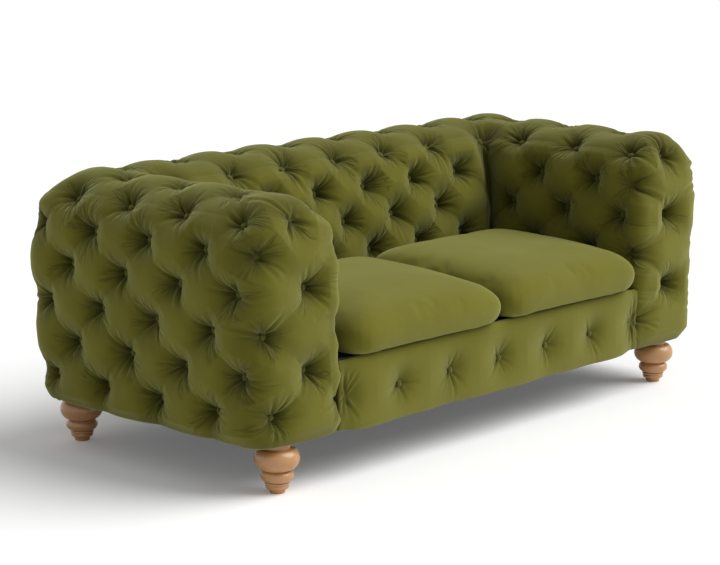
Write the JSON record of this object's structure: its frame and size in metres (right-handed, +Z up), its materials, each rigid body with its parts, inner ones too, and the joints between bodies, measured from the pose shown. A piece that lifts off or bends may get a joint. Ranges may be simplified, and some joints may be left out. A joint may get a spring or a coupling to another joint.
{
  "type": "sofa",
  "caption": "Low-backed deep-buttoned velvet sofa with rolled arms level with its back, loose seat cushions and turned wooden feet.",
  "frame": {"origin": "on the floor under the middle of the sofa", "axes": "+Z up, -Y to the front, +X to the right seen from the front"},
  "size_m": [1.8666, 0.906, 0.7583],
  "materials": {
    "velvet": "soft matt velvet pile",
    "foam": "open-cell polyurethane foam",
    "turned_wood": "clear satin lacquer",
    "beech": "sawn, bare",
    "plywood": "bare",
    "spring_steel": "oiled wire",
    "zinc_steel": "zinc plated",
    "jute": "woven strip",
    "felt": "needled felt",
    "black_cloth": "thin non-woven cloth",
    "zip": "coil zip"
  },
  "bodies": {
    "sofa": {"arm_cross_pieces": "beech", "arm_rear_posts": "beech", "arm_tack_rails": "beech", "arm_webbing": "jute", "back_buttons": "velvet", "back_cover": "velvet", "back_foam": "foam", "back_posts": "beech", "back_seat_rail": "beech", "back_tack_blocks": "beech", "back_tack_rail": "beech", "back_top_rail": "beech", "back_webbing": "jute", "centre_cross_rail": "beech", "deck_cloth": "black_cloth", "deck_pad": "felt", "dust_cover": "black_cloth", "foot_blocks": "plywood", "frame_screws": "zinc_steel", "front_rail_buttons": "velvet", "front_rail_cover": "velvet", "front_seat_rail": "beech", "hanger_bolts": "zinc_steel", "left_arm_buttons": "velvet", "left_arm_cover": "velvet", "left_arm_facing": "velvet", "left_arm_foam": "foam", "left_arm_front_board": "plywood", "left_arm_top_rail": "beech", "left_facing_buttons": "velvet", "left_front_foot": "turned_wood", "left_rear_foot": "turned_wood", "left_seat_rail": "beech", "right_arm_buttons": "velvet", "right_arm_cover": "velvet", "right_arm_facing": "velvet", "right_arm_foam": "foam", "right_arm_front_board": "plywood", "right_arm_top_rail": "beech", "right_facing_buttons": "velvet", "right_front_foot": "turned_wood", "right_rear_foot": "turned_wood", "right_seat_rail": "beech", "spring_clips": "spring_steel", "spring_tie_wires": "spring_steel", "threaded_inserts": "zinc_steel", "zigzag_springs": "spring_steel"},
    "left_cushion": {"left_cushion_cover": "velvet", "left_cushion_foam": "foam", "left_cushion_zip": "zip"},
    "right_cushion": {"right_cushion_cover": "velvet", "right_cushion_foam": "foam", "right_cushion_zip": "zip"}
  },
  "joints": [
    {"name": "left_cushion_lift", "type": "slide", "parent": "sofa", "child": "left_cushion", "axis": [0, 0, 1], "range_m": [0, 0.35]},
    {"name": "right_cushion_lift", "type": "slide", "parent": "sofa", "child": "right_cushion", "axis": [0, 0, 1], "range_m": [0, 0.35]}
  ]
}
